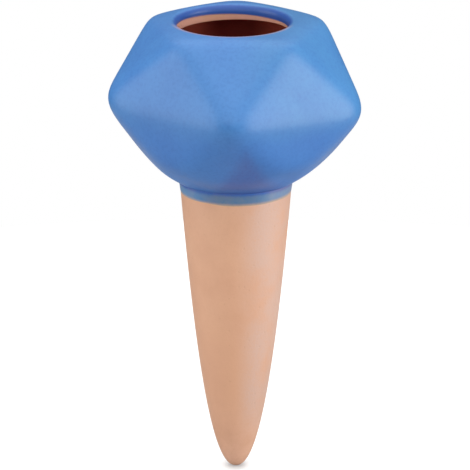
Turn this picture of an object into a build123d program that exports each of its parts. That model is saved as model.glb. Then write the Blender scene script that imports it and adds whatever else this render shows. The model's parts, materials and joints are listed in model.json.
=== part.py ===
from build123d import *
import os
from math import cos, pi, radians, sin, tan

# A self watering spike: a hollow porous clay spike under a faceted, glazed clay reservoir.
# Sizes are in millimetres and angles in degrees. The joint between head and spike lies in the
# plane z = 0, which is also the soil line, and +Z is the common axis: the head stands above the
# origin and the spike hangs below it. One corner of the head's equator faces -Y.

# Head: three rings of corners, with the equator's corners turned half a step from the others
corner_count = 5
top_ring_radius = 35.3
head_height = 63.7
equator_radius = 54.2
equator_height = 33.7
equator_lean = 2.2
bottom_ring_radius = 36.6
bottom_ring_height = 4.8
crease_radius = 22.1

# Softness of the cast form: edge rounding, and how far each ring's corners are cut back first
edge_radius = 6.1
top_corner_cut = 2.3
equator_corner_cut = 5.0
bottom_corner_cut = 3.1

# Walls of the head, measured from the glazed surface
head_wall = 5.2
cavity_edge_radius = 3.0
glaze_thickness = 0.4

# Mouth: cut by hand, a little off the axis towards -X
mouth_radius = 21.7
mouth_shift = 1.2
lip_radius = 2.5
lip_glaze_depth = 2.9

# Spike: its radius grows with a power of the height above the tip
spike_length = 116.3
taper_power = 0.44
spike_wall = 4.0
tip_wall = 12.0

# Joint: the head's neck stands in the spike's open top, bedded in slip
neck_length = 8.0
neck_wall = 3.4
slip_thickness = 0.8

# Glaze that ran down over the top of the spike
collar_glaze_height = 5.0
collar_glaze_thickness = 0.3
collar_glaze_foot = 0.15

# Derived sizes
corner_step = 360 / corner_count
front_angle = -90
spike_radius = crease_radius - collar_glaze_thickness
socket_radius = spike_radius - spike_wall
neck_radius = socket_radius - slip_thickness
neck_bore_radius = neck_radius - neck_wall

# Working values: points on a taper curve, and how near a corner counts as on a plane
taper_points = 8
touch_tolerance = 1e-6


def ring_of_corners(radius, height, first_angle, lean=0):
    """Corners spread evenly on a circle, the ring leaning low towards +X."""
    corners = []
    for k in range(corner_count):
        angle = radians(first_angle + k * corner_step)
        x = radius * cos(angle)
        corners.append(Vector(x, radius * sin(angle), height - x * tan(radians(lean))))
    return corners


top_ring = ring_of_corners(top_ring_radius, head_height, front_angle + corner_step / 2)
equator = ring_of_corners(equator_radius, equator_height, front_angle, equator_lean)
bottom_ring = ring_of_corners(bottom_ring_radius, bottom_ring_height, front_angle + corner_step / 2)
head_middle = Vector(0, 0, equator_height)


def facet(a, b, c):
    """The plane through three points, facing away from the middle of the head."""
    normal = (b - a).cross(c - a).normalized()
    if normal.dot(a - head_middle) < 0:
        normal = -normal
    return Plane(origin=a, z_dir=normal)


def side_facets():
    """Two tiers of triangles, pointing up and down by turns, between the three rings."""
    facets = []
    for k in range(corner_count):
        after = (k + 1) % corner_count
        for ring in (top_ring, bottom_ring):
            facets.append(facet(equator[k], equator[after], ring[k]))
            facets.append(facet(ring[k - 1], ring[k], equator[k]))
    return facets


def underside_facets():
    """A shallow funnel from the bottom ring's corners and edges in to the crease circle."""
    edge_distance = bottom_ring_radius * cos(pi / corner_count)
    facets = []
    for k in range(2 * corner_count):
        angle = radians(front_angle + k * corner_step / 2)
        outward = Vector(cos(angle), sin(angle), 0)
        along = Vector(-sin(angle), cos(angle), 0)
        reach = bottom_ring_radius if k % 2 else edge_distance
        crease_point = outward * crease_radius
        ring_point = outward * reach + Vector(0, 0, bottom_ring_height)
        facets.append(facet(crease_point, crease_point + along, ring_point))
    return facets


def corner_facets(facets):
    """A small plane across each corner, square to the mean of the facets that meet there."""
    cuts = []
    for ring, depth in (
        (top_ring, top_corner_cut),
        (equator, equator_corner_cut),
        (bottom_ring, bottom_corner_cut),
    ):
        for corner in ring:
            normal = Vector(0, 0, 0)
            for face in facets:
                if abs((corner - face.origin).dot(face.z_dir)) < touch_tolerance:
                    normal = normal + face.z_dir
            normal = normal.normalized()
            cuts.append(Plane(origin=corner - normal * depth, z_dir=normal))
    return cuts


top_facet = Plane(origin=(0, 0, head_height), z_dir=(0, 0, 1))
main_facets = [top_facet] + side_facets() + underside_facets()
head_facets = main_facets + corner_facets(main_facets)


def head_form(depth, radius):
    """The head's solid form at some depth under the glaze, with its edges rounded."""
    block_side = 4 * max(equator_radius, head_height)
    form = Pos(0, 0, equator_height) * Box(block_side, block_side, block_side)
    for face in head_facets:
        form = split(form, bisect_by=face.offset(-depth - radius), keep=Keep.BOTTOM)
    return offset(form, radius, kind=Kind.ARC)


def above_joint(form):
    """The part of a form that stands above the joint plane."""
    return split(form, bisect_by=Plane.XY, keep=Keep.TOP)


def mouth_cutter(depth, floor):
    """The mouth's space down to a floor, flared by the lip's round, at some depth under the glaze."""
    wall = mouth_radius + depth
    lip_centre = mouth_radius + lip_radius
    lip = lip_radius - depth
    lip_start = head_height - lip_radius
    top = lip_start + lip
    above_lip = head_height + lip_radius
    bow = lip * cos(pi / 4)
    outline = Polyline((lip_centre, top), (lip_centre, above_lip), (0, above_lip), (0, floor),
                       (wall, floor), (wall, lip_start))
    outline += ThreePointArc((wall, lip_start), (lip_centre - bow, lip_start + bow), (lip_centre, top))
    profile = Plane.XZ * make_face(outline)
    return Pos(-mouth_shift, 0, 0) * revolve(profile, Axis.Z)


def taper_radius(height, radius, length):
    """Radius of the spike's taper at a height above its own tip."""
    return radius * (height / length) ** taper_power


def tapered_solid(radius, length):
    """A blunt tapered body whose flat top lies in the joint plane and whose tip hangs below."""
    points = []
    for k in range(taper_points + 1):
        height = length * (k / taper_points) ** 2
        points.append((taper_radius(height, radius, length), height - length))
    top_slope = taper_power * radius / length
    outline = Spline(*points, tangents=[(1, 0), (top_slope, 1)], tangent_scalars=[1, 1])
    outline += Polyline(points[-1], (0, 0), points[0])
    return revolve(Plane.XZ * make_face(outline), Axis.Z)


def tube(outer_radius, inner_radius, low, high):
    """A plain ring about the axis, from one height to another."""
    height = high - low
    ring = Cylinder(outer_radius, height) - Cylinder(inner_radius, height)
    return Pos(0, 0, (low + high) / 2) * ring


def rod(radius, low, high):
    """A plain cylinder about the axis, from one height to another."""
    return Pos(0, 0, (low + high) / 2) * Cylinder(radius, high - low)


glaze_form = above_joint(head_form(0, edge_radius))
clay_form = above_joint(head_form(glaze_thickness, edge_radius - glaze_thickness))
cavity = head_form(head_wall, cavity_edge_radius)
mouth = mouth_cutter(0, equator_height)
glazed_lip = mouth_cutter(glaze_thickness, head_height - lip_glaze_depth)
clay_blank = clay_form - glazed_lip

# The cast clay head, open at the mouth, with a neck that stands in the top of the spike
neck_blank = rod(neck_radius, -neck_length, bottom_ring_height)
neck_bore = rod(neck_bore_radius, -neck_length, equator_height)
reservoir_head = clay_blank + neck_blank - cavity - mouth - neck_bore

# The blue glaze over the head, round the lip and a little way down the mouth's wall
head_glaze = glaze_form - mouth - clay_blank

# The porous clay spike, with a closed tip and a socket for the neck
spike_body = tapered_solid(spike_radius, spike_length)
spike_bore = tapered_solid(socket_radius, spike_length - tip_wall)
spike = spike_body - spike_bore - rod(socket_radius, -neck_length, 0)

# The slip that beds the neck in its socket
slip_ring = tube(socket_radius, neck_radius, -neck_length, 0)

# The thin band of glaze that ran over the top of the spike, thicker in the crease
foot_height = spike_length - collar_glaze_height
foot_radius = taper_radius(foot_height, spike_radius, spike_length) + collar_glaze_foot
collar_outline = Polyline((socket_radius, 0), (crease_radius, 0), (foot_radius, -collar_glaze_height),
                          (socket_radius, -collar_glaze_height), close=True)
collar_glaze = revolve(Plane.XZ * make_face(collar_outline), Axis.Z) - spike_body

nodes = {
    "reservoir_head": reservoir_head,
    "head_glaze": head_glaze,
    "spike": spike,
    "slip_ring": slip_ring,
    "collar_glaze": collar_glaze,
}

os.makedirs("parts", exist_ok=True)
for name, node in nodes.items():
    export_step(node, f"parts/{name}.step")
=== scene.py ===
import json
from math import cos, pi, radians, sin, tan

import bmesh
import bpy
from bpy.props import FloatProperty, FloatVectorProperty, IntProperty, PointerProperty
from mathutils import Matrix, Vector


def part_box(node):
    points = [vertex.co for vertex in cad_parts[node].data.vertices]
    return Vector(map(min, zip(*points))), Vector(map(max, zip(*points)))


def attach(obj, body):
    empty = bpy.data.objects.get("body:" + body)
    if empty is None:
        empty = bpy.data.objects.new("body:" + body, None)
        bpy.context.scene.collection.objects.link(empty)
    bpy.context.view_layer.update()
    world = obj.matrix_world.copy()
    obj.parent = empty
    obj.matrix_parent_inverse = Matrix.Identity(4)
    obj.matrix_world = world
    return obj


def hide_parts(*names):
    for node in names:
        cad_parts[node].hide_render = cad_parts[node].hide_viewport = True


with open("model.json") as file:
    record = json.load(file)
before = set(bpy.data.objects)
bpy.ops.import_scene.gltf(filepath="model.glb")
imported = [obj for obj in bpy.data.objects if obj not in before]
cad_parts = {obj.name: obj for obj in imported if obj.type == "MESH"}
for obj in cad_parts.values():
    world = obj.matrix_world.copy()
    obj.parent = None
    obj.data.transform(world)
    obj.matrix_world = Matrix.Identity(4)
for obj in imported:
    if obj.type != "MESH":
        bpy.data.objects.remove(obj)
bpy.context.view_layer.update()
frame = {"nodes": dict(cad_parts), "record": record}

bl_info = {
    "name": "Self watering spike",
    "version": (1, 0, 0),
    "blender": (4, 5, 0),
    "location": "3D View > Sidebar > Watering Spike",
    "description": "Models and finishes a glazed clay watering spike around its packed CAD frame",
    "category": "Object",
}

# All sizes are in metres, in the frame of the CAD model: the joint of head and spike lies in the
# plane z = 0, the head stands above it, and one corner of the head's equator faces -Y.
HEAD_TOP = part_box("head_glaze")[1].z
SPIKE_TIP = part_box("spike")[0].z
MOUTH = next(mount for mount in frame["record"]["mounts"] if mount["name"] == "fill_mouth")
FRONT = radians(-90)

# Small lengths: how far the top ring lies under the rim, because solidify leaves spikes on a top that
# is quite flat, how much the spike's tip is worn, the room between clay and glaze, and how near two
# points are when they are merged
RING_SINK = 0.0001
TIP_WEAR = 0.0008
GLAZE_GAP = 0.0001
MERGE_DISTANCE = 1e-6

# A hand-made wave round the axis, as the height, number and phase of each of its parts
WAVES = ((0.5, 2, 0.6), (0.3, 5, 1.9), (0.2, 9, 0))


def length(name, description, default):
    """A size in metres."""
    return FloatProperty(name=name, description=description, default=default, unit="LENGTH", precision=5)


def angle(name, description, degrees):
    """An angle, given in degrees and kept in radians."""
    return FloatProperty(name=name, description=description, default=radians(degrees), subtype="ANGLE")


def colour(name, description, default):
    """A linear colour."""
    return FloatVectorProperty(name=name, description=description, default=default,
                               subtype="COLOR", size=3, min=0, max=1)


def count(name, description, default):
    """A number of things."""
    return IntProperty(name=name, description=description, default=default, min=1)


def power(name, description, default):
    """The power of a lamp in watts."""
    return FloatProperty(name=name, description=description, default=default, min=0, unit="POWER")


def fraction(name, description, default):
    """A part of the whole, from 0 to 1."""
    return FloatProperty(name=name, description=description, default=default, min=0, max=1)


class HeadSizes(bpy.types.PropertyGroup):
    """Sizes of the faceted reservoir head"""
    corners: count("Corners", "Corners in each of the head's three rings", 5)
    height: length("Height", "Height of the mouth's rim above the joint", HEAD_TOP)
    top_radius: length("Top ring", "Radius of the ring of corners round the mouth", 0.03603)
    top_height: length("Top height", "Height of that ring before its edges are rounded",
                       HEAD_TOP - RING_SINK)
    top_lean: angle("Top lean", "How far the rim leans, low towards -Y", 1.32)
    equator_radius: length("Equator", "Radius of the widest ring of corners", 0.0549)
    equator_height: length("Equator height", "Height of the widest ring", 0.03417)
    equator_lean: angle("Equator lean", "How far the cast equator leans, low towards +X", 2.35)
    bottom_radius: length("Bottom ring", "Radius of the lowest ring of corners", 0.03759)
    bottom_height: length("Bottom height", "Height of the lowest ring", 0.00506)
    crease_radius: length("Crease", "Radius of the crease between head and spike", 0.0221)
    top_cut: length("Top corner cut", "How far the top corners are worn back", 0.0005)
    equator_cut: length("Equator corner cut", "How far the equator's corners are worn back", 0.0022)
    bottom_cut: length("Bottom corner cut", "How far the lowest corners are worn back", 0.0045)
    wall: length("Wall", "Thickness of the cast wall with its glaze", 0.0052)
    glaze: length("Glaze", "Thickness of the blue glaze", 0.0004)
    grid: count("Facet grid", "Steps along each edge of a facet", 48)
    softness: count("Softness", "Smoothing passes that round the edges of the facets", 85)


class MouthSizes(bpy.types.PropertyGroup):
    """Sizes of the mouth on top of the head"""
    radius: length("Radius", "Radius of the mouth", MOUTH["dims"]["r_mm"] / 1000)
    shift: length("Shift", "Place of the mouth's axis along X", MOUTH["pos_m"][0])
    lip: length("Lip", "Radius of the rolled lip", 0.0025)
    glaze_depth: length("Glaze depth", "How far the glaze reaches down the mouth's wall", 0.0033)
    glaze_slant: length("Glaze slant", "How much deeper the glaze reaches on the +X side", 0.0006)
    clay_set_back: length("Clay set back", "How far the bare wall lies behind the glaze", 0.00025)
    ring_drop: length("Ring drop", "How much thicker the wall is at the mouth", 0.00038)
    ring_slant: length("Ring slant", "How much thicker still it is on the -X side", 0.00048)


class SpikeSizes(bpy.types.PropertyGroup):
    """Sizes of the spike, its joint and the glaze that ran over its top"""
    length: length("Length", "Length of the spike below the joint, its tip a little worn",
                   -SPIKE_TIP - TIP_WEAR)
    radius: length("Radius", "Radius of the spike at the joint", 0.0218)
    taper_power: FloatProperty(name="Taper power", default=0.44,
                               description="Power of the height above the tip that the radius grows with")
    wall: length("Wall", "Thickness of the porous wall", 0.004)
    tip_wall: length("Tip wall", "Thickness of the clay under the bore", 0.012)
    neck_length: length("Neck length", "How far the head's neck stands in the spike", 0.008)
    neck_wall: length("Neck wall", "Thickness of the neck's wall", 0.0034)
    slip: length("Slip", "Thickness of the slip round the neck", 0.0008)
    collar_height: length("Collar", "How far the glaze ran over the top of the spike", 0.005)
    collar_glaze: length("Collar glaze", "Thickness of that glaze in the crease", 0.0003)
    collar_wave: length("Collar wave", "How unevenly that glaze ends", 0.00025)
    collar_rise: length("Collar rise", "How much less far it ran at the sides", 0.0007)
    turns: count("Steps", "Steps round the axis", 128)


class Finishes(bpy.types.PropertyGroup):
    """Colours of the clay and the glazes"""
    blue: colour("Blue glaze", "Glaze of usual thickness", (0.068, 0.239, 0.58))
    # Painted light: less blue on the +X side, standing in for warmer light from the right
    blue_east: colour("Blue on the right", "The glaze on the side of +X", (0.068, 0.244, 0.535))
    blue_low: colour("Blue below", "The glaze under the widest corners",
                     (0.059, 0.222, 0.595))
    # Painted light: the same less blue tint below the equator, for warmer light from the right
    blue_low_east: colour("Blue below on the right", "The same glaze on the side of +X",
                          (0.053, 0.203, 0.55))
    # Painted light: bluer with less red, to offset the sheen and the clay's bounce light under the head
    blue_under: colour("Blue underneath", "The glaze where the head turns in to the crease",
                       (0.004, 0.198, 0.665))
    # Also the colour of painted shade in the crease, on the mouth's wall and in the pools
    deep_blue_and_shade: colour("Deep glaze", "Glaze where it lies thick", (0.024, 0.096, 0.39))
    collar: colour("Collar glaze", "Thin glaze over the top of the spike", (0.1, 0.195, 0.325))
    collar_side: colour("Collar side", "The same glaze at its sides", (0.1, 0.26, 0.48))
    collar_foot: colour("Collar foot", "Clay that shows through the same glaze", (0.66, 0.42, 0.22))
    # Partly gathered glaze and partly painted shade in the crease
    collar_deep: colour("Collar crease", "The same glaze where it gathers in the crease",
                        (0.03, 0.12, 0.42))
    clay: colour("Terracotta", "Bare fired clay", (0.785, 0.44, 0.276))
    clay_shade: colour("Terracotta shade", "Darker clouds in the clay", (0.73, 0.393, 0.244))
    # Painted sheen: the clay is paler on its +X side, standing in for the sheen of the light from the right
    clay_sheen: colour("Terracotta bloom", "Pale bloom on the clay's +X side", (0.69, 0.445, 0.345))
    mouth_clay: colour("Mouth clay", "Bare clay in the mouth", (0.8, 0.412, 0.318))
    clay_middle: colour("Clay lower down", "Bare clay on the lower half of the spike",
                        (0.765, 0.418, 0.256))
    # Painted light: lighter than the clay, to offset the darker light near the tip
    clay_tip: colour("Terracotta tip", "Clay near the tip", (0.88, 0.51, 0.345))
    speck: colour("Specks", "Grog and iron specks in the clay", (0.3, 0.15, 0.1))
    # Painted shade: darker and redder than the outer clay, for the shade inside the reservoir
    inner_clay: colour("Inner clay", "Clay inside the reservoir", (0.6, 0.18, 0.118))
    # Painted shade: the darkest clay inside, along the middle of the reservoir
    inner_shade_clay: colour("Damp clay", "Clay inside the reservoir where it stays damp",
                      (0.18, 0.026, 0.018))
    slip: colour("Slip", "Fired slip in the joint", (0.56, 0.33, 0.22))


class StageSettings(bpy.types.PropertyGroup):
    """The camera and the studio light"""
    aim_height: length("Aim height", "Height of the point on the axis that the camera looks at", -0.0224)
    aim_side: length("Aim side", "How far that point lies to the camera's left", 0.00034)
    distance: length("Distance", "Distance of the camera from that point", 4.039)
    pitch: angle("Pitch", "How far the camera looks down", 15.54)
    turn: angle("Turn", "How far the camera stands round from -Y towards +X", 2.2)
    lens: FloatProperty(name="Lens", description="Focal length", default=796.9, unit="CAMERA")
    floor_radius: length("Floor radius", "Radius of the round white table top", 0.36)
    right_power: power("Right softbox", "Power of the large softbox on the right", 7.4)
    left_power: power("Left softbox", "Power of the tall softbox on the left", 5.0)
    front_power: power("Front softbox", "Power of the softbox behind the camera's side", 4.6)
    top_power: power("Top softbox", "Power of the softbox above", 5.6)
    horizon: fraction("Horizon", "Strength of the white surroundings at the horizon", 0.12)
    zenith: fraction("Zenith", "Strength of the white surroundings overhead", 1.0)
    # A lower lift under the tip paints a small shadow there, over the real one
    tip_glow: fraction("Tip white", "How far the floor is lifted to white right under the tip", 0.28)
    floor_glow: fraction("Floor white", "How far it is lifted round the tip", 0.66)
    back_glow: fraction("Back white", "How far it is lifted behind", 0.82)


def ring_corners(number, radius, height, first_angle, lean=0.0):
    """Corners spread evenly on a circle, the ring leaning low towards +X."""
    corners = []
    for k in range(number):
        turn = first_angle + k * 2 * pi / number
        x = radius * cos(turn)
        corners.append(Vector((x, radius * sin(turn), height - x * tan(lean))))
    return corners


def press_flat(bm, point, direction):
    """Flattens what stands out past a plane on to it."""
    plane = Matrix.Translation(point) @ direction.to_track_quat("Z", "Y").to_matrix().to_4x4()
    proud = [vert for vert in bm.verts if (vert.co - point).dot(direction) > 0]
    bmesh.ops.scale(bm, vec=(1, 1, 0), space=plane.inverted(), verts=proud)


def add_facets(bm, head, depth, grid):
    """Two tiers of triangles between three rings of corners, at some depth under the glaze.

    Each facet is a fine grid, and the corners are worn back to small flats.
    """
    step = pi / head.corners
    rings = [
        [bm.verts.new(corner) for corner in ring_corners(head.corners, *ring)]
        for ring in (
            (head.top_radius, head.top_height, FRONT + step),
            (head.equator_radius, head.equator_height, FRONT, head.equator_lean),
            (head.bottom_radius, head.bottom_height, FRONT + step),
        )
    ]
    top, equator, bottom = rings
    sides = []
    for k in range(head.corners):
        after = (k + 1) % head.corners
        for ring in (top, bottom):
            sides.append(bm.faces.new((equator[k], equator[after], ring[k])))
            sides.append(bm.faces.new((ring[k - 1], ring[k], equator[k])))
    caps = [bm.faces.new(top), bm.faces.new(bottom)]
    bmesh.ops.recalc_face_normals(bm, faces=sides + caps)
    corners = top + equator + bottom
    for corner in corners:
        corner.normal_update()
    flats = [
        (corner.co - corner.normal * (cut + depth), corner.normal.copy())
        for ring, cut in zip(rings, (head.top_cut, head.equator_cut, head.bottom_cut))
        for corner in ring
    ]
    inward = [-corner.normal * depth * corner.calc_shell_factor() for corner in corners]
    for corner, move in zip(corners, inward):
        corner.co += move
    bmesh.ops.delete(bm, geom=caps, context="FACES_ONLY")
    edges = list({edge for face in sides for edge in face.edges})
    bmesh.ops.subdivide_edges(bm, edges=edges, cuts=grid - 1, use_grid_fill=True)
    for point, direction in flats:
        press_flat(bm, point, direction)


def open_rim(bm, head, upper):
    """The open edges above or below the equator."""
    return [edge for edge in bm.edges
            if edge.is_boundary and (edge.verts[0].co.z > head.equator_height) == upper]


def new_circle(bm, steps, radius, height, shift=0.0):
    """Adds an open level circle with its middle at some place along X, and returns its edges."""
    made = bmesh.ops.create_circle(bm, segments=steps, radius=radius,
                                   matrix=Matrix.Translation((shift, 0, height)))
    return list({edge for vert in made["verts"] for edge in vert.link_edges})


def bridge_to_circle(bm, rim, radius, height, shift, cuts):
    """Bridges an open rim to a new circle, in several steps, and returns the circle's edges."""
    circle = new_circle(bm, len(rim), radius, height, shift)
    bridge = bmesh.ops.bridge_loops(bm, edges=rim + circle)
    bmesh.ops.subdivide_edges(bm, edges=bridge["edges"], cuts=cuts, use_grid_fill=True)
    return circle


def turn_on(bm, ring, outline, shift=0.0):
    """Draws a round ring of edges on along an outline of (radius, height), and returns the last ring."""
    axis = Matrix.Translation((-shift, 0, 0))
    for (radius, height), (next_radius, next_height) in zip(outline, outline[1:]):
        made = bmesh.ops.extrude_edge_only(bm, edges=ring)["geom"]
        verts = [item for item in made if isinstance(item, bmesh.types.BMVert)]
        fresh = set(verts)
        ring = list({edge for vert in verts for edge in vert.link_edges if fresh.issuperset(edge.verts)})
        widen = next_radius / radius
        bmesh.ops.scale(bm, vec=(widen, widen, 1), space=axis, verts=verts)
        bmesh.ops.translate(bm, vec=(0, 0, next_height - height), verts=verts)
    return ring


def soften(bm, held_edges, passes):
    """Rounds every edge of a form, apart from some edges that stay where they are."""
    held = {vert for edge in held_edges for vert in edge.verts}
    free = [vert for vert in bm.verts if vert not in held]
    for _ in range(passes):
        bmesh.ops.smooth_vert(bm, verts=free, factor=0.5,
                              use_axis_x=True, use_axis_y=True, use_axis_z=True)


def head_skin(head, depth, grid, passes, top, bottom):
    """The head's form at some depth under the glaze, open at a circle on top and one at the bottom.

    Each circle is a radius, a height and its middle's place along X.
    """
    top_steps = grid // 6
    bottom_steps = grid // 4
    bm = bmesh.new()
    add_facets(bm, head, depth, grid)
    top_circle = bridge_to_circle(bm, open_rim(bm, head, True), *top, top_steps)
    bottom_circle = bridge_to_circle(bm, open_rim(bm, head, False), *bottom, bottom_steps)
    soften(bm, top_circle + bottom_circle, passes)
    return bm, top_circle, bottom_circle


def lean_top(vert, head):
    """Moves a point of the head with the lean of its top, the more the higher it lies."""
    share = (vert.co.z - head.equator_height) / (head.height - head.equator_height)
    vert.co.z += max(share, 0) * vert.co.y * tan(head.top_lean)


def join(bm, other):
    """Adds another bmesh to this one, and closes the seams where they meet."""
    mesh = bpy.data.meshes.new("Joined")
    other.to_mesh(mesh)
    other.free()
    bm.from_mesh(mesh)
    bpy.data.meshes.remove(mesh)
    bmesh.ops.remove_doubles(bm, verts=bm.verts, dist=MERGE_DISTANCE)


def quarter_round(start, end, steps):
    """Points of a quarter of an ellipse that leaves start level and comes to end upright."""
    points = []
    for k in range(steps + 1):
        turn = k / steps * pi / 2
        radius = start[0] + (end[0] - start[0]) * sin(turn)
        height = end[1] + (start[1] - end[1]) * cos(turn)
        points.append((radius, height))
    return points


def taper_radius(spike, height, radius, length):
    """Radius of the spike's taper at a height above its own tip."""
    return radius * max(height / length, 0) ** spike.taper_power


def taper_outline(spike, radius, length, top, steps):
    """Outline of a taper from its tip on the axis up to a height, with its steps close at the tip."""
    points = []
    for k in range(steps + 1):
        height = (length + top) * (k / steps) ** 2
        points.append((taper_radius(spike, height, radius, length), height - length))
    return points


def spin_outline(outline, steps):
    """A body turned from an outline of (radius, height) about the Z axis."""
    bm = bmesh.new()
    verts = [bm.verts.new((radius, 0, height)) for radius, height in outline]
    edges = [bm.edges.new(pair) for pair in zip(verts, verts[1:])]
    bmesh.ops.spin(bm, geom=verts + edges, axis=(0, 0, 1), cent=(0, 0, 0), angle=2 * pi,
                   steps=steps, use_merge=True)
    bmesh.ops.remove_doubles(bm, verts=bm.verts, dist=MERGE_DISTANCE)
    bmesh.ops.recalc_face_normals(bm, faces=bm.faces)
    return bm


def waviness(vert):
    """How high the hand-made wave stands beside a point, from -1 to 1."""
    turn = Vector((0, 1)).angle_signed(vert.co.xy, 0)
    return sum(height * sin(number * turn + phase) for height, number, phase in WAVES)


def add_piece(bm, name, material, node, sharp_angle=radians(40)):
    """Makes a finished mesh an object that stands for a CAD node and rides with the body."""
    mesh = bpy.data.meshes.new(name)
    bm.to_mesh(mesh)
    bm.free()
    mesh.shade_smooth()
    mesh.set_sharp_from_angle(angle=sharp_angle)
    mesh.materials.append(material)
    piece = bpy.data.objects.new(name, mesh)
    bpy.context.scene.collection.objects.link(piece)
    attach(piece, "root")
    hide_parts(node)


def fill(tree, node, inputs):
    """Sets or links inputs of a node."""
    for key, value in inputs.items():
        if isinstance(value, bpy.types.NodeSocket):
            tree.links.new(value, node.inputs[key])
        else:
            node.inputs[key].default_value = value


def place(tree, kind, inputs=None, **settings):
    """Adds a node with its settings, and sets or links its inputs."""
    node = tree.nodes.new(kind)
    for name, value in settings.items():
        setattr(node, name, value)
    fill(tree, node, inputs or {})
    return node


def math(tree, operation, *values):
    """The result of a math node."""
    return place(tree, "ShaderNodeMath", dict(enumerate(values)), operation=operation).outputs[0]


def times(tree, first, second):
    """The product of two values."""
    return math(tree, "MULTIPLY", first, second)


def plus(tree, first, second):
    """The sum of two values."""
    return math(tree, "ADD", first, second)


def rest_of(tree, value):
    """What a value leaves of 1."""
    return math(tree, "SUBTRACT", 1, value)


def distance_from(tree, value, middle):
    """How far a value lies from a middle, to either side."""
    return math(tree, "ABSOLUTE", math(tree, "SUBTRACT", value, middle))


def mix(tree, factor, first, second):
    """The result of mixing two colours."""
    node = place(tree, "ShaderNodeMix", {0: factor, 6: first, 7: second}, data_type="RGBA")
    return node.outputs[2]


def fade(tree, value, low, high):
    """A smooth rise from 0 at low to 1 at high."""
    node = place(tree, "ShaderNodeMapRange", {"Value": value, "From Min": low, "From Max": high},
                 interpolation_type="SMOOTHSTEP")
    return node.outputs["Result"]


def between(tree, value, low, high):
    """Spreads a value from 0 to 1 between low and high."""
    node = place(tree, "ShaderNodeMapRange", {"Value": value, "To Min": low, "To Max": high})
    return node.outputs["Result"]


def noise(tree, coordinates, scale, detail=2.0, roughness=0.5):
    """A noise pattern of so many features to the metre."""
    inputs = {"Vector": coordinates, "Scale": scale, "Detail": detail, "Roughness": roughness}
    return place(tree, "ShaderNodeTexNoise", inputs).outputs["Fac"]


def object_coordinates(tree):
    """The point on the piece, in the piece's own frame."""
    return place(tree, "ShaderNodeTexCoord").outputs["Object"]


def axes_of(tree, vector):
    """The X, Y and Z of a vector."""
    return place(tree, "ShaderNodeSeparateXYZ", {"Vector": vector}).outputs


def eastward(tree, spot):
    """How far a point lies to +X of the axis, from -1 to 1 round it."""
    level = place(tree, "ShaderNodeVectorMath", {0: spot, 1: (1, 1, 0)}, operation="MULTIPLY")
    outward = place(tree, "ShaderNodeVectorMath", {0: level.outputs["Vector"]}, operation="NORMALIZE")
    return axes_of(tree, outward.outputs["Vector"])["X"]


def opaque(rgb):
    """A colour property as a socket's four numbers."""
    return (*rgb, 1)


def new_group(name, inputs, outputs):
    """An empty shader node group with its sockets, and its two end nodes."""
    group = bpy.data.node_groups.new(name, "ShaderNodeTree")
    for socket, kind in inputs.items():
        group.interface.new_socket(socket, in_out="INPUT", socket_type=kind)
    for socket, kind in outputs.items():
        group.interface.new_socket(socket, in_out="OUTPUT", socket_type=kind)
    return group, group.nodes.new("NodeGroupInput").outputs, group.nodes.new("NodeGroupOutput").inputs


def link_all(group, out, values):
    """Links values to the outputs of a group."""
    for socket, value in values.items():
        group.links.new(value, out[socket])


def clay_grain_group():
    """Cloudy fired clay with fine grain and specks of grog, built once."""
    name = "Clay Grain"
    if name in bpy.data.node_groups:
        return bpy.data.node_groups[name]
    group, given, out = new_group(
        name,
        {"Coordinates": "NodeSocketVector", "Clay": "NodeSocketColor", "Shade": "NodeSocketColor",
         "Speck": "NodeSocketColor"},
        {"Color": "NodeSocketColor", "Roughness": "NodeSocketFloat", "Height": "NodeSocketFloat"},
    )
    grain_shade = 0.34
    speck_shade = 0.05
    speck_height = -0.6
    spot = given["Coordinates"]
    clouds = fade(group, noise(group, spot, scale=42, detail=4, roughness=0.6), 0.35, 0.7)
    grain = noise(group, spot, scale=1000, detail=3, roughness=0.65)
    cells = place(group, "ShaderNodeTexVoronoi", {"Vector": spot, "Scale": 520})
    rare = place(group, "ShaderNodeSeparateColor", {"Color": cells.outputs["Color"]}).outputs["Red"]
    near = rest_of(group, fade(group, cells.outputs["Distance"], 0.12, 0.3))
    specks = times(group, near, fade(group, rare, 0.78, 0.9))
    tone = mix(group, clouds, given["Clay"], given["Shade"])
    tone = mix(group, times(group, fade(group, grain, 0.45, 0.75), grain_shade), tone, given["Shade"])
    tone = mix(group, times(group, specks, speck_shade), tone, given["Speck"])
    link_all(group, out, {
        "Color": tone,
        "Roughness": between(group, grain, 0.45, 0.58),
        "Height": plus(group, grain, times(group, specks, speck_height)),
    })
    return group


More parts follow.
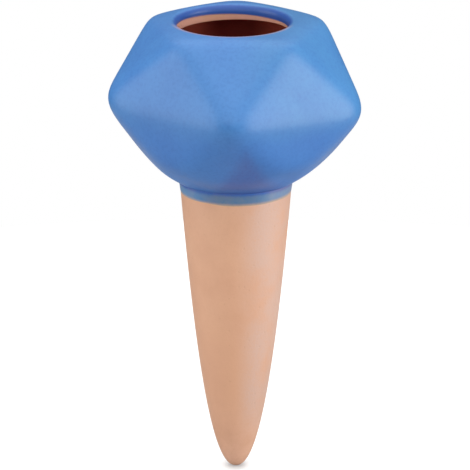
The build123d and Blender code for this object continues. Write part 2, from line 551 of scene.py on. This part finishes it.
def glaze_skin_group():
    """A satin glaze that clouds, gathers and thins, built once. What it is given to gather also carries
    painted shade, and what it is given to thin also carries painted sheen, glint and reflection.
    """
    name = "Glaze Skin"
    if name in bpy.data.node_groups:
        return bpy.data.node_groups[name]
    group, given, out = new_group(
        name,
        {"Coordinates": "NodeSocketVector", "Glaze": "NodeSocketColor", "Deep": "NodeSocketColor",
         "Bare": "NodeSocketColor", "Gathered": "NodeSocketFloat", "Thin": "NodeSocketFloat"},
        {"Color": "NodeSocketColor", "Roughness": "NodeSocketFloat", "Height": "NodeSocketFloat"},
    )
    cloud_depth = 0.2
    fleck_depth = 0.22
    peel_height = 0.35
    spot = given["Coordinates"]
    clouds = fade(group, noise(group, spot, scale=55, detail=4, roughness=0.6), 0.35, 0.75)
    peel = noise(group, spot, scale=330, detail=2, roughness=0.5)
    flecks = noise(group, spot, scale=800, detail=3, roughness=0.6)
    thick = plus(group, times(group, clouds, cloud_depth), given["Gathered"])
    thick = plus(group, thick, times(group, fade(group, flecks, 0.4, 0.75), fleck_depth))
    tone = mix(group, math(group, "MINIMUM", thick, 1), given["Glaze"], given["Deep"])
    broken = times(group, given["Thin"], between(group, flecks, 0.6, 1.4))
    tone = mix(group, math(group, "MINIMUM", broken, 1), tone, given["Bare"])
    link_all(group, out, {
        "Color": tone,
        "Roughness": between(group, peel, 0.34, 0.42),
        "Height": plus(group, clouds, times(group, peel, peel_height)),
    })
    return group


def new_surface(name, group, bump_depth, specular):
    """A material that takes its colour, roughness and bump from a group, with its tree and group node."""
    material = bpy.data.materials.new(name)
    material.use_nodes = True
    tree = material.node_tree
    tree.nodes.clear()
    skin = place(tree, "ShaderNodeGroup", node_tree=group)
    bump = place(tree, "ShaderNodeBump", {"Height": skin.outputs["Height"], "Distance": bump_depth})
    shader = place(tree, "ShaderNodeBsdfPrincipled", {
        "Base Color": skin.outputs["Color"],
        "Roughness": skin.outputs["Roughness"],
        "Specular IOR Level": specular,
        "Normal": bump.outputs["Normal"],
    })
    place(tree, "ShaderNodeOutputMaterial", {"Surface": shader.outputs["BSDF"]})
    return material, tree, skin


def blue_glaze(finishes, head, mouth):
    """Satin blue glaze, darker in the crease, on the mouth's wall and in two pools, and thin over the lip.
    The crease is partly gathered glaze and partly painted shade. The wall and the pools are painted shade,
    and the pools carry a painted reflection of the clay. The thin lip is partly wear and partly a painted
    glint on its near side. The glaze is also painted less blue on the +X side for warmer light from the
    right. Underneath it is painted bluer with less red, to offset the sheen and the clay's bounce light
    there.
    """
    # Bands in metres, each from where its mask begins to where it is full
    crease_band = (0.0016, 0.0002)
    wall_band = (mouth.radius + 0.002, mouth.radius + 0.0004)
    lip_band = (mouth.radius + 0.0034, mouth.radius + 0.0024)
    near_band = (-0.004, -0.014)
    glaze_end = head.height - mouth.glaze_depth
    end_band = (glaze_end + 0.0006, glaze_end - 0.0002)
    low_band = (head.equator_height, head.equator_height - 0.012)
    under_band = (0.012, 0.005)
    front_band = (0.019, 0.008)
    # The same for the turn towards +X, from -1 to 1
    east_band = (-0.1, 0.6)
    # The pools low on the front and back are painted shade in dark triangles: their middle along X, how
    # fast they narrow upwards, and their sides
    pool_shade_middle = 0.0068
    pool_shade_slope = 0.6
    pool_shade_band = (0.0168, 0.0096)
    # How much the glaze gathers or thins in each place. The crease's gathering is partly painted shade. The
    # pools' gathering is painted shade, and their thinning is a painted reflection of the clay. The lip's
    # thinning is partly wear and partly a painted glint.
    crease_depth_and_shade = 0.5
    pool_shade_depth = 0.46
    pool_clay_reflection = 0.025
    lip_wear_and_glint_share = 0.32
    end_thinness = 0.45

    material, tree, skin = new_surface("Blue_glaze", glaze_skin_group(),
                                       bump_depth=0.00006, specular=0.52)
    spot = object_coordinates(tree)
    from_mouth = place(tree, "ShaderNodeMapping", {"Vector": spot, "Location": (-mouth.shift, 0, 0)})
    axes = axes_of(tree, from_mouth.outputs["Vector"])
    square = plus(tree, times(tree, axes["X"], axes["X"]), times(tree, axes["Y"], axes["Y"]))
    reach = math(tree, "SQRT", square)
    high = math(tree, "GREATER_THAN", axes["Z"], head.equator_height)
    # The mouth's wall: the glaze is darker there as painted shade, and thin where it ends
    on_wall = times(tree, fade(tree, reach, *wall_band), high)
    on_lip = times(tree, fade(tree, reach, *lip_band), high)
    # Painted shade: the pools low on the front and back, with a painted reflection of the clay in them
    flank = math(tree, "MULTIPLY_ADD", axes["Z"], pool_shade_slope, distance_from(tree, axes["X"], pool_shade_middle))
    pool_shade = fade(tree, flank, *pool_shade_band)
    # Darker glaze: partly gathered glaze and partly painted shade in the crease, and painted shade on the
    # mouth's wall and in the pools
    gathered_and_shade = plus(tree, times(tree, fade(tree, axes["Z"], *crease_band), crease_depth_and_shade), on_wall)
    gathered_and_shade = plus(tree, gathered_and_shade, times(tree, pool_shade, pool_shade_depth))
    sloped = math(tree, "MULTIPLY_ADD", axes["X"], mouth.glaze_slant / mouth.radius, axes["Z"])
    # Partly worn glaze and partly a painted glint: the lip shows some clay on its near side, towards -Y
    lip_wear_and_glint = times(tree, on_lip, times(tree, fade(tree, axes["Y"], *near_band), lip_wear_and_glint_share))
    end_thin = times(tree, on_wall, times(tree, fade(tree, sloped, *end_band), end_thinness))
    # Thinner glaze that shows clay: real where the glaze ends, a painted reflection of the clay in the
    # pools, and partly a painted glint on the near lip
    thin_and_sheen = plus(tree, plus(tree, lip_wear_and_glint, end_thin), times(tree, pool_shade, pool_clay_reflection))
    # Painted light: the glaze is less blue on the +X side, above and below the equator, for warmer light
    # from the right
    east = fade(tree, eastward(tree, spot), *east_band)
    upper_blue = mix(tree, east, opaque(finishes.blue), opaque(finishes.blue_east))
    lower_blue = mix(tree, east, opaque(finishes.blue_low), opaque(finishes.blue_low_east))
    blue = mix(tree, fade(tree, axes["Z"], *low_band), upper_blue, lower_blue)
    # Painted light: underneath, away from the front, the glaze is bluer with less red to offset the sheen
    # and the clay's bounce light
    front = fade(tree, distance_from(tree, axes["X"], 0), *front_band)
    under = times(tree, fade(tree, axes["Z"], *under_band), rest_of(tree, front))
    fill(tree, skin, {
        "Coordinates": spot,
        "Glaze": mix(tree, under, blue, opaque(finishes.blue_under)),
        "Deep": opaque(finishes.deep_blue_and_shade),
        "Bare": opaque(finishes.clay),
        "Gathered": gathered_and_shade,
        "Thin": thin_and_sheen,
    })
    return material


def collar_glaze(finishes, spike):
    """A thin glaze over clay, bluer in the crease and worn through at its lower edge. The crease is partly
    painted shade, and the paler, clay-tinted +X side is a painted sheen.
    """
    crease_band = (-0.0017, -0.0001)
    edge_band = (0.0014 - spike.collar_height, -0.0002 - spike.collar_height)
    east_band = (0.45, 0.85)
    side_band = (0.3, 0.8)
    edge_thinness = 0.68
    streak_thinness = 0.1
    east_sheen = 0.15

    material, tree, skin = new_surface("Collar_glaze", glaze_skin_group(),
                                       bump_depth=0.00005, specular=0.47)
    spot = object_coordinates(tree)
    axes = axes_of(tree, spot)
    rise = -spike.collar_rise / spike.radius ** 2
    down = math(tree, "MULTIPLY_ADD", times(tree, axes["X"], axes["X"]), rise, axes["Z"])
    streaks = fade(tree, noise(tree, spot, scale=160, detail=3, roughness=0.6), 0.4, 0.75)
    east = eastward(tree, spot)
    thin_and_sheen = times(tree, fade(tree, down, *edge_band), edge_thinness)
    thin_and_sheen = plus(tree, thin_and_sheen, times(tree, streaks, streak_thinness))
    # Painted sheen: paler, clay-tinted glaze on the +X side
    thin_and_sheen = plus(tree, thin_and_sheen, times(tree, fade(tree, east, *east_band), east_sheen))
    sides = fade(tree, distance_from(tree, east, 0), *side_band)
    fill(tree, skin, {
        "Coordinates": spot,
        "Glaze": mix(tree, sides, opaque(finishes.collar), opaque(finishes.collar_side)),
        "Deep": opaque(finishes.collar_deep),
        "Bare": opaque(finishes.collar_foot),
        # In the crease the glaze is darker: partly gathered glaze, partly painted shade
        "Gathered": fade(tree, axes["Z"], *crease_band),
        "Thin": thin_and_sheen,
    })
    return material


def bare_clay(name, finishes, tones_of):
    """Matt fired clay, whose clear and clouded tones come from a function of the material's tree."""
    material, tree, skin = new_surface(name, clay_grain_group(), bump_depth=0.00008, specular=0.5)
    spot = object_coordinates(tree)
    clear, clouded = tones_of(tree, spot)
    fill(tree, skin, {
        "Coordinates": spot,
        "Clay": clear,
        "Shade": clouded,
        "Speck": opaque(finishes.speck),
    })
    return material


def terracotta(finishes, spike):
    """Pale terracotta, a little lighter towards the tip and paler on one side, both painted light. The
    lighter tip offsets the darker light near the tip, and the paler +X side is a painted sheen.
    """
    middle_band = (-0.35 * spike.length, -0.65 * spike.length)
    tip_band = (-0.7 * spike.length, -spike.length)
    sheen_band = (-0.05, 0.6)

    def tones(tree, spot):
        height = axes_of(tree, spot)["Z"]
        halfway = fade(tree, height, *middle_band)
        low = fade(tree, height, *tip_band)
        clay = mix(tree, halfway, opaque(finishes.clay), opaque(finishes.clay_middle))
        # Painted light: lighter towards the tip
        clay = mix(tree, low, clay, opaque(finishes.clay_tip))
        # Painted sheen: paler on the +X side, fading out towards the tip
        sheen = times(tree, fade(tree, eastward(tree, spot), *sheen_band), rest_of(tree, low))
        return mix(tree, sheen, clay, opaque(finishes.clay_sheen)), opaque(finishes.clay_shade)
    return bare_clay("Terracotta", finishes, tones)


def mouth_clay(finishes, head, mouth):
    """Bare clay in the mouth, and below it the clay of the reservoir, painted darker and redder as shade
    inside, and darker still along its middle as more painted shade.
    """
    inner_shade_band = (0.005, 0.018)
    ceiling = head.height - head.wall - mouth.ring_drop
    ring_band = (ceiling - 0.0002, ceiling + 0.0004)

    def tones(tree, spot):
        axes = axes_of(tree, spot)
        # Painted shade: darker along the middle of the reservoir, lighter towards its sides
        unshaded = fade(tree, distance_from(tree, axes["X"], mouth.shift), *inner_shade_band)
        inner = mix(tree, unshaded, opaque(finishes.inner_shade_clay), opaque(finishes.inner_clay))
        sloped = math(tree, "MULTIPLY_ADD", axes["X"], -mouth.ring_slant / mouth.radius, axes["Z"])
        bare = fade(tree, sloped, *ring_band)
        return [mix(tree, bare, inner, opaque(tone)) for tone in (finishes.mouth_clay, finishes.clay_shade)]
    return bare_clay("Mouth_clay", finishes, tones)


def fired_slip(finishes):
    """Pale slip, as it was wiped into the joint."""
    def tones(tree, spot):
        smears = fade(tree, noise(tree, spot, scale=240, detail=2, roughness=0.5), 0.4, 0.65)
        return mix(tree, smears, opaque(finishes.slip), opaque(finishes.clay)), opaque(finishes.clay_shade)
    return bare_clay("Fired_slip", finishes, tones)


class WATERINGSPIKE_OT_head_glaze(bpy.types.Operator):
    """Model the blue glaze over the head and round its lip"""
    bl_idname = "watering_spike.head_glaze"
    bl_label = "Head glaze"

    def execute(self, context):
        head, mouth = context.scene.spike_head, context.scene.spike_mouth
        lip_steps = 12
        wall_slope = 0.00004
        end_bevel = 0.0001
        wave_share = 0.3
        lip_edge = (mouth.radius + mouth.lip, head.height)
        wall_top = (mouth.radius, head.height - mouth.lip)
        end = head.height - mouth.glaze_depth

        bm, lip, _ = head_skin(head, 0, head.grid, head.softness,
                               (*lip_edge, mouth.shift), (head.crease_radius, 0, 0))
        outline = quarter_round(lip_edge, wall_top, lip_steps)
        outline.append((mouth.radius + wall_slope, end + end_bevel))
        outline.append((mouth.radius + mouth.clay_set_back, end))
        skin = set(bm.verts)
        turn_on(bm, lip, outline, mouth.shift)
        for vert in bm.verts:
            share = 0 if vert in skin else ((head.height - vert.co.z) / mouth.glaze_depth) ** 2
            slant = mouth.glaze_slant * (wave_share * waviness(vert) - vert.co.x / mouth.radius)
            level = -vert.co.y * tan(head.top_lean)
            lean_top(vert, head)
            vert.co.z += share * (slant + level)
        bmesh.ops.recalc_face_normals(bm, faces=bm.faces)
        bmesh.ops.solidify(bm, geom=bm.faces[:], thickness=head.glaze)
        glaze = blue_glaze(context.scene.spike_finishes, head, mouth)
        add_piece(bm, "Head_glaze", glaze, "head_glaze")
        return {"FINISHED"}


class WATERINGSPIKE_OT_head_clay(bpy.types.Operator):
    """Model the cast clay head with its reservoir, bare mouth and neck"""
    bl_idname = "watering_spike.head_clay"
    bl_label = "Head clay"

    def execute(self, context):
        scene = context.scene
        head, mouth, spike = scene.spike_head, scene.spike_mouth, scene.spike_spike
        grid = head.grid // 2
        passes = max(1, head.softness // 4)
        lip_steps = 8
        arris = 0.0005
        arris_steps = 4
        depth = head.glaze + GLAZE_GAP
        joint_radius = head.crease_radius - spike.collar_glaze
        neck_radius = spike.radius - spike.wall - spike.slip
        bore_radius = neck_radius - spike.neck_wall
        bore_top = head.bottom_height / 2
        wall_radius = mouth.radius + mouth.clay_set_back
        ceiling = head.height - head.wall
        lip_edge = (mouth.radius + mouth.lip, head.height - depth)
        wall_top = (wall_radius, head.height - mouth.lip - depth)
        ceiling_edge = (wall_radius + arris, ceiling)

        bm, lip, crease = head_skin(head, depth, grid, passes,
                                    (*lip_edge, mouth.shift), (joint_radius, 0, 0))
        outline = quarter_round(lip_edge, wall_top, lip_steps)
        outline += quarter_round(ceiling_edge, (wall_radius, ceiling + arris), arris_steps)[::-1]
        turn_on(bm, lip, outline, mouth.shift)
        turn_on(bm, crease, [
            (joint_radius, 0), (neck_radius, 0), (neck_radius, -spike.neck_length),
            (bore_radius, -spike.neck_length), (bore_radius, bore_top),
        ])
        cavity, _, _ = head_skin(head, head.wall, grid, passes,
                                 (*ceiling_edge, mouth.shift), (bore_radius, bore_top, 0))
        join(bm, cavity)
        for vert in bm.verts:
            reach = (vert.co.xy - Vector((mouth.shift, 0))).length
            if reach < wall_radius + 2 * arris and abs(vert.co.z - ceiling) < 2 * arris:
                vert.co.z += mouth.ring_slant * vert.co.x / mouth.radius - mouth.ring_drop
            else:
                lean_top(vert, head)
        bmesh.ops.recalc_face_normals(bm, faces=bm.faces)
        clay = mouth_clay(scene.spike_finishes, head, mouth)
        add_piece(bm, "Reservoir_head", clay, "reservoir_head")
        return {"FINISHED"}


class WATERINGSPIKE_OT_spike(bpy.types.Operator):
    """Model the porous clay spike with its bore and socket"""
    bl_idname = "watering_spike.spike"
    bl_label = "Spike"

    def execute(self, context):
        spike = context.scene.spike_spike
        outside_steps = 64
        bore_steps = 32
        socket_radius = spike.radius - spike.wall
        bore_length = spike.length - spike.tip_wall
        outline = taper_outline(spike, spike.radius, spike.length, 0, outside_steps)
        outline += [(socket_radius, 0), (socket_radius, -spike.neck_length)]
        outline += taper_outline(spike, socket_radius, bore_length, -spike.neck_length, bore_steps)[::-1]
        bm = spin_outline(outline, spike.turns)
        add_piece(bm, "Spike", terracotta(context.scene.spike_finishes, spike), "spike")
        return {"FINISHED"}


class WATERINGSPIKE_OT_collar_glaze(bpy.types.Operator):
    """Model the thin glaze that ran over the top of the spike"""
    bl_idname = "watering_spike.collar_glaze"
    bl_label = "Collar glaze"

    def execute(self, context):
        spike = context.scene.spike_spike
        steps = 10
        least_glaze = 0.00004
        sink = 0.0001
        overlap = 0.0002
        thinning = 0.7
        outside, inside = [], []
        for k in range(steps + 1):
            share = k / steps
            down = -spike.collar_height * share
            height = down + overlap * (1 - share)
            clay = taper_radius(spike, spike.length + down, spike.radius, spike.length)
            outside.append((clay + least_glaze + spike.collar_glaze * (1 - share) ** thinning, height))
            inside.append((clay - sink, height))
        bm = bmesh.new()
        first = new_circle(bm, spike.turns * 2, *outside[0])
        last = turn_on(bm, first, outside + inside[::-1])
        bmesh.ops.bridge_loops(bm, edges=first + last)
        for vert in bm.verts:
            share = min(max(-vert.co.z / spike.collar_height, 0), 1)
            ran_less = spike.collar_rise * (vert.co.x / spike.radius) ** 2
            vert.co.z += share * (spike.collar_wave * waviness(vert) + ran_less)
        bmesh.ops.recalc_face_normals(bm, faces=bm.faces)
        glaze = collar_glaze(context.scene.spike_finishes, spike)
        add_piece(bm, "Collar_glaze", glaze, "collar_glaze")
        return {"FINISHED"}


class WATERINGSPIKE_OT_slip_ring(bpy.types.Operator):
    """Finish the ring of slip that beds the neck in the spike"""
    bl_idname = "watering_spike.slip_ring"
    bl_label = "Slip ring"

    def execute(self, context):
        ring = frame["nodes"]["slip_ring"]
        ring.data.materials.clear()
        ring.data.materials.append(fired_slip(context.scene.spike_finishes))
        return {"FINISHED"}


def seen_directly(tree):
    """1 for rays from the camera, and 0 for the light itself."""
    return place(tree, "ShaderNodeLightPath").outputs["Is Camera Ray"]


def white_floor(stage):
    """White paper that looks white to the camera, lifted less in a small patch under the tip that is narrow
    along X: a painted shadow there, over the real shadow that it lets show.
    """
    shadow_band = (0.002, 0.0118)
    shadow_squeeze = (1.8, 1, 0)
    back_band = (0.1, 0.7)
    paper_tones = ((0.47, 0.47, 0.47), (0.49, 0.49, 0.49))

    material = bpy.data.materials.new("White_paper")
    material.use_nodes = True
    tree = material.node_tree
    tree.nodes.clear()
    spot = object_coordinates(tree)
    paper = mix(tree, noise(tree, spot, scale=60, detail=3), *map(opaque, paper_tones))
    sheet = place(tree, "ShaderNodeBsdfDiffuse", {"Color": paper})
    level = place(tree, "ShaderNodeVectorMath", {0: spot, 1: shadow_squeeze}, operation="MULTIPLY")
    size = place(tree, "ShaderNodeVectorMath", {0: level.outputs["Vector"]}, operation="LENGTH")
    reach = size.outputs["Value"]
    # Painted shadow: less lift in a small ellipse under the tip, narrow along X
    glow = between(tree, fade(tree, reach, *shadow_band), stage.tip_glow, stage.floor_glow)
    far = times(tree, fade(tree, reach, *back_band), stage.back_glow - stage.floor_glow)
    glow = times(tree, seen_directly(tree), plus(tree, glow, far))
    lift = place(tree, "ShaderNodeEmission", {"Strength": glow})
    both = place(tree, "ShaderNodeAddShader", {0: sheet.outputs[0], 1: lift.outputs[0]})
    place(tree, "ShaderNodeOutputMaterial", {"Surface": both.outputs[0]})
    return material


def white_surroundings(scene, stage):
    """A white world, dimmer as light than as a background and brightest overhead."""
    world = bpy.data.worlds.new("White_surroundings")
    world.use_nodes = True
    tree = world.node_tree
    tree.nodes.clear()
    up = axes_of(tree, place(tree, "ShaderNodeTexCoord").outputs["Generated"])["Z"]
    height = math(tree, "MAXIMUM", up, 0)
    light = between(tree, times(tree, height, height), stage.horizon, stage.zenith)
    strength = math(tree, "MAXIMUM", seen_directly(tree), light)
    sky = place(tree, "ShaderNodeBackground", {"Color": (1, 1, 1, 1), "Strength": strength})
    place(tree, "ShaderNodeOutputWorld", {"Surface": sky.outputs[0]})
    scene.world = world


def direction_to(azimuth, elevation):
    """The unit vector towards an azimuth, counted from +X to +Y, and a height above the horizon."""
    return Vector((cos(azimuth) * cos(elevation), sin(azimuth) * cos(elevation), sin(elevation)))


def aim(item, target, direction, distance):
    """Puts a lamp or camera at a distance from a target, facing it."""
    item.location = target + direction * distance
    item.rotation_euler = direction.to_track_quat("Z", "Y").to_euler()
    bpy.context.scene.collection.objects.link(item)


def add_softbox(name, watts, azimuth, elevation, distance, width, height):
    """A rectangular lamp that faces the middle of the object, placed by angles in degrees."""
    lamp = bpy.data.lights.new(name, "AREA")
    lamp.shape = "RECTANGLE"
    lamp.energy = watts
    lamp.size, lamp.size_y = width, height
    towards = direction_to(radians(azimuth), radians(elevation))
    aim(bpy.data.objects.new(name, lamp), Vector(), towards, distance)


class WATERINGSPIKE_OT_stage(bpy.types.Operator):
    """Set the white floor, the studio light and the camera"""
    bl_idname = "watering_spike.stage"
    bl_label = "Stage"

    def execute(self, context):
        scene, stage = context.scene, context.scene.spike_stage
        scene.view_settings.view_transform = "Standard"
        bm = bmesh.new()
        bmesh.ops.create_circle(bm, cap_ends=True, segments=64, radius=stage.floor_radius,
                                matrix=Matrix.Translation((0, 0, -scene.spike_spike.length)))
        mesh = bpy.data.meshes.new("Floor")
        bm.to_mesh(mesh)
        bm.free()
        mesh.materials.append(white_floor(stage))
        floor = bpy.data.objects.new("Floor", mesh)
        scene.collection.objects.link(floor)

        white_surroundings(scene, stage)
        add_softbox("Right_softbox", stage.right_power,
                    azimuth=-17, elevation=3, distance=0.9, width=0.65, height=0.92)
        add_softbox("Left_softbox", stage.left_power,
                    azimuth=-163, elevation=5, distance=0.9, width=0.7, height=1.05)
        add_softbox("Front_softbox", stage.front_power,
                    azimuth=-90, elevation=24, distance=1.2, width=1.8, height=0.8)
        add_softbox("Top_softbox", stage.top_power,
                    azimuth=90, elevation=86, distance=0.9, width=1.6, height=1.6)

        lens = bpy.data.cameras.new("Camera")
        lens.lens = stage.lens
        camera = bpy.data.objects.new("Camera", lens)
        to_camera = direction_to(FRONT + stage.turn, stage.pitch)
        left = Vector((0, 0, 1)).cross(to_camera).normalized() * -stage.aim_side
        aim(camera, Vector((0, 0, stage.aim_height)) + left, to_camera, stage.distance)
        scene.camera = camera
        return {"FINISHED"}


PIECES = (
    WATERINGSPIKE_OT_head_glaze,
    WATERINGSPIKE_OT_head_clay,
    WATERINGSPIKE_OT_spike,
    WATERINGSPIKE_OT_collar_glaze,
    WATERINGSPIKE_OT_slip_ring,
    WATERINGSPIKE_OT_stage,
)
SETTINGS = {
    "spike_head": HeadSizes,
    "spike_mouth": MouthSizes,
    "spike_spike": SpikeSizes,
    "spike_finishes": Finishes,
    "spike_stage": StageSettings,
}


class WATERINGSPIKE_PT_sidebar(bpy.types.Panel):
    """Sizes, colours and pieces of the watering spike"""
    bl_label = "Watering spike"
    bl_idname = "WATERINGSPIKE_PT_sidebar"
    bl_space_type = "VIEW_3D"
    bl_region_type = "UI"
    bl_category = "Watering Spike"

    def draw(self, context):
        for name, group in SETTINGS.items():
            box = self.layout.box()
            box.label(text=group.__doc__)
            for setting in group.__annotations__:
                box.prop(getattr(context.scene, name), setting)
        for piece in PIECES:
            self.layout.operator(piece.bl_idname)


def register():
    """Registers the classes and puts their settings on the scene."""
    for cls in (*SETTINGS.values(), *PIECES, WATERINGSPIKE_PT_sidebar):
        bpy.utils.register_class(cls)
    for name, group in SETTINGS.items():
        setattr(bpy.types.Scene, name, PointerProperty(type=group))


def unregister():
    """Takes the settings and classes away again."""
    for name in SETTINGS:
        delattr(bpy.types.Scene, name)
    for cls in (WATERINGSPIKE_PT_sidebar, *reversed(PIECES), *reversed(SETTINGS.values())):
        bpy.utils.unregister_class(cls)


def main():
    """Builds every piece and the stage."""
    register()
    bpy.ops.watering_spike.head_glaze()
    bpy.ops.watering_spike.head_clay()
    bpy.ops.watering_spike.spike()
    bpy.ops.watering_spike.collar_glaze()
    bpy.ops.watering_spike.slip_ring()
    bpy.ops.watering_spike.stage()


if __name__ == "__main__":
    main()
